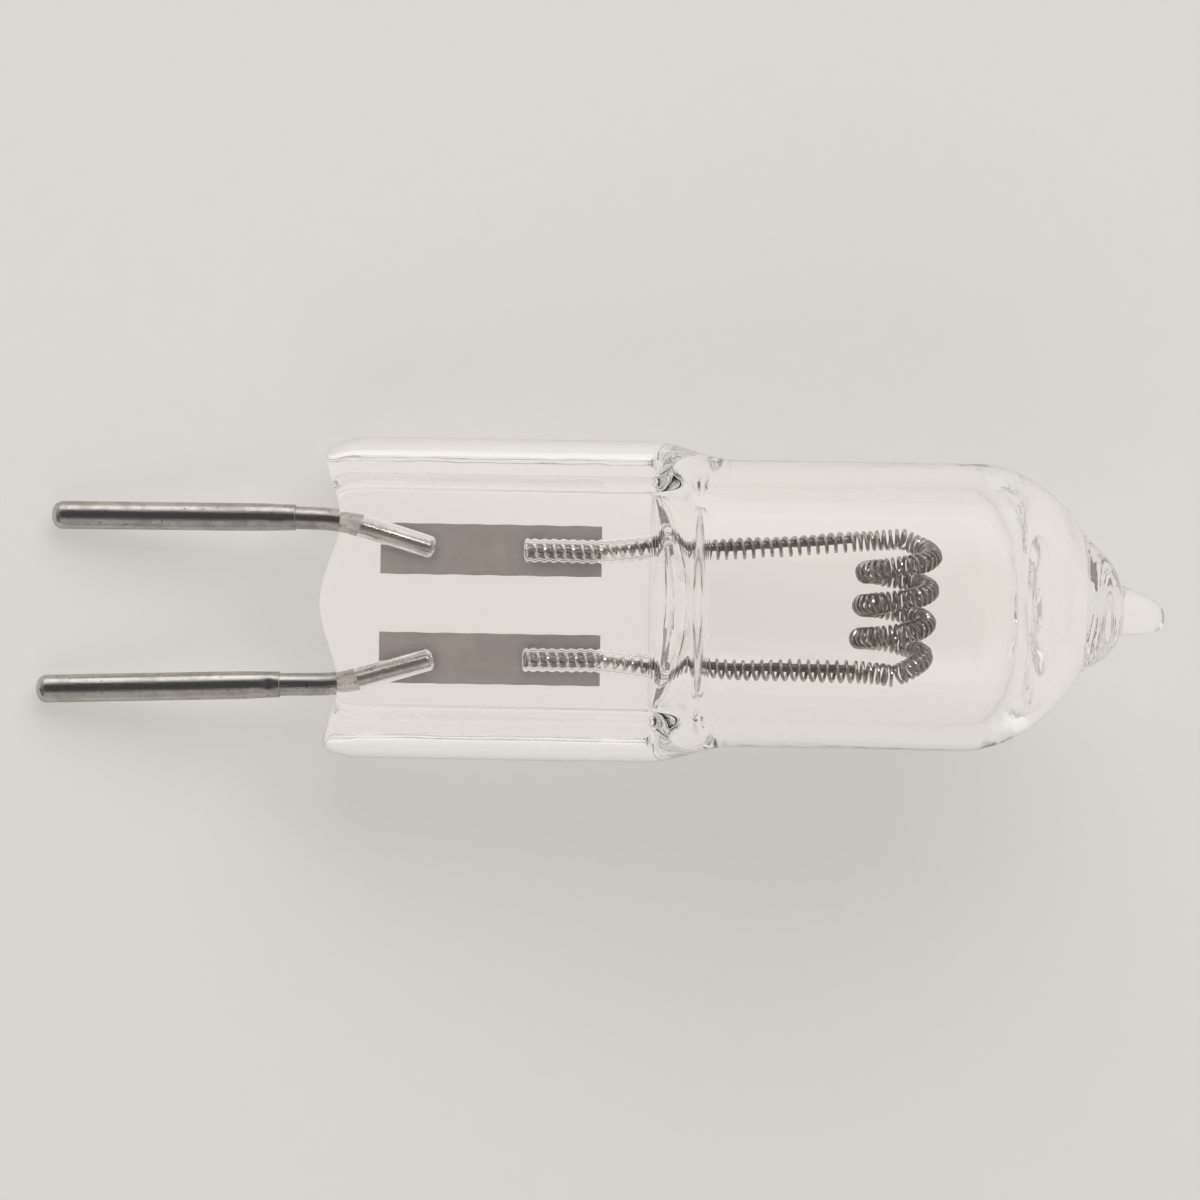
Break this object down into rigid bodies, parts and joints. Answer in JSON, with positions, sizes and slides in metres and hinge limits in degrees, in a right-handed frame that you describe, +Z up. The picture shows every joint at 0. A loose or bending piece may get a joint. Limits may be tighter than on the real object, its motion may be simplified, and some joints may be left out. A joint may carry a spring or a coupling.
{
  "type": "light bulb",
  "caption": "Clear quartz halogen capsule lamp with a flat press seal, two bare metal pins, molybdenum foils and a coiled-coil filament.",
  "frame": {"origin": "middle of the outline's box, on the surface that the lamp lies on", "axes": "+X from the pins towards the exhaust tip, +Z up from the surface. The lamp lies on both pins' ends and on its bulb, so its own axis rises 11 degrees along +X, and the flat of the press seal faces up"},
  "size_m": [0.042, 0.0122, 0.0128],
  "materials": {
    "quartz_glass": "clear and fire-polished",
    "nickel_sleeve": "satin, drawn along the pin",
    "molybdenum_wire": "satin",
    "molybdenum_foil": "matt",
    "tungsten": "drawn wire, slightly bright"
  },
  "bodies": {
    "root": {"envelope": "quartz_glass", "left_pin_sleeve": "nickel_sleeve", "right_pin_sleeve": "nickel_sleeve", "left_outer_lead": "molybdenum_wire", "right_outer_lead": "molybdenum_wire", "left_foil": "molybdenum_foil", "right_foil": "molybdenum_foil", "left_core_wire": "molybdenum_wire", "right_core_wire": "molybdenum_wire", "filament": "tungsten"}
  },
  "joints": []
}
